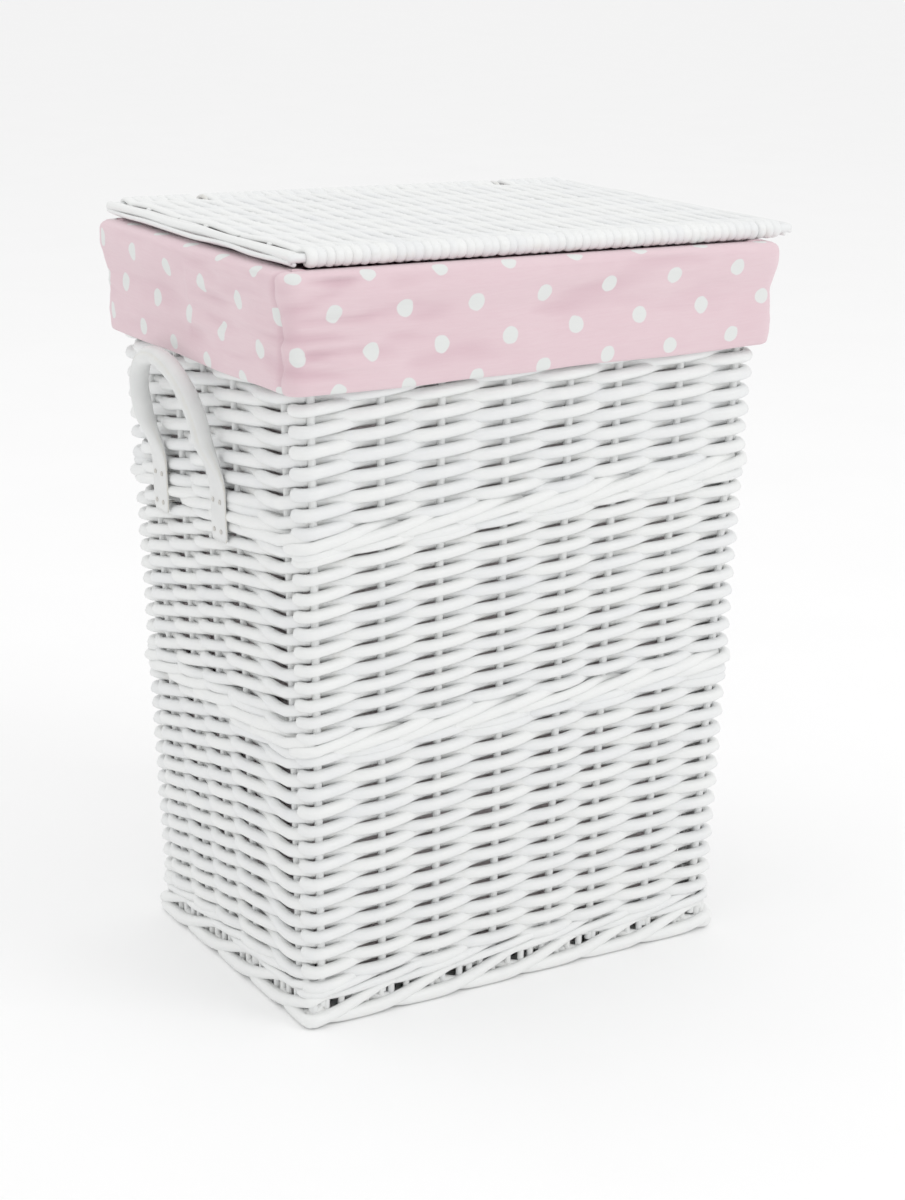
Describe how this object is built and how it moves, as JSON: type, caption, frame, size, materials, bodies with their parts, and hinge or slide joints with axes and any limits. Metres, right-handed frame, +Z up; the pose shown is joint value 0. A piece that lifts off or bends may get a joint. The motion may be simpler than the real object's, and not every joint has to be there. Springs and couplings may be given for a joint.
{
  "type": "laundry basket",
  "caption": "Tall rectangular woven willow laundry basket with a hinged woven lid, a fold-over dotted cotton liner and soft loop handles on its short sides.",
  "frame": {"origin": "bottom centre of the object's bounding box, on the surface it stands on", "axes": "+Z up, +X to the right along the long front wall, +Y from the front wall to the hinged back"},
  "size_m": [0.4034, 0.2916, 0.5152],
  "materials": {
    "white_willow": "white paint over peeled willow, satin",
    "hinge_cane": "white paint over split cane, satin",
    "dotted_cotton": "pale pink plain-weave cotton with white dots",
    "white_strap": "white imitation leather, rolled and stitched",
    "tack": "small plain tack heads"
  },
  "bodies": {
    "basket": {"foot_border": "white_willow", "base_sticks": "white_willow", "base_weave": "white_willow", "stakes_front": "white_willow", "stakes_back": "white_willow", "stakes_left": "white_willow", "stakes_right": "white_willow", "wale_base": "white_willow", "weave_lower": "white_willow", "wale_lower": "white_willow", "weave_middle": "white_willow", "wale_upper": "white_willow", "weave_upper": "white_willow", "rim_border": "white_willow", "liner_bag": "dotted_cotton", "liner_cuff": "dotted_cotton", "handle_tabs_left": "white_strap", "handle_tabs_right": "white_strap", "handle_tacks_left": "tack", "handle_tacks_right": "tack", "hinge_ring_left": "hinge_cane", "hinge_ring_right": "hinge_cane"},
    "lid": {"lid_rod_front": "white_willow", "lid_rod_back": "white_willow", "lid_sticks": "white_willow", "lid_weave": "white_willow", "lid_end_rods_left": "white_willow", "lid_end_rods_right": "white_willow"},
    "left_handle": {"handle_loop_left": "white_strap"},
    "right_handle": {"handle_loop_right": "white_strap"}
  },
  "joints": [
    {"name": "lid_hinge", "type": "hinge", "parent": "basket", "child": "lid", "pos_m": [0, 0.13662, 0.50695], "axis": [-1, 0, 0], "range_deg": [0, 105]},
    {"name": "left_handle_flex", "type": "hinge", "parent": "basket", "child": "left_handle", "pos_m": [-0.1855, 0.01653, 0.3645], "axis": [0, -1, 0], "range_deg": [0, 60]},
    {"name": "right_handle_flex", "type": "hinge", "parent": "basket", "child": "right_handle", "pos_m": [0.18139, 0.01653, 0.3645], "axis": [0, 1, 0], "range_deg": [0, 60]}
  ]
}
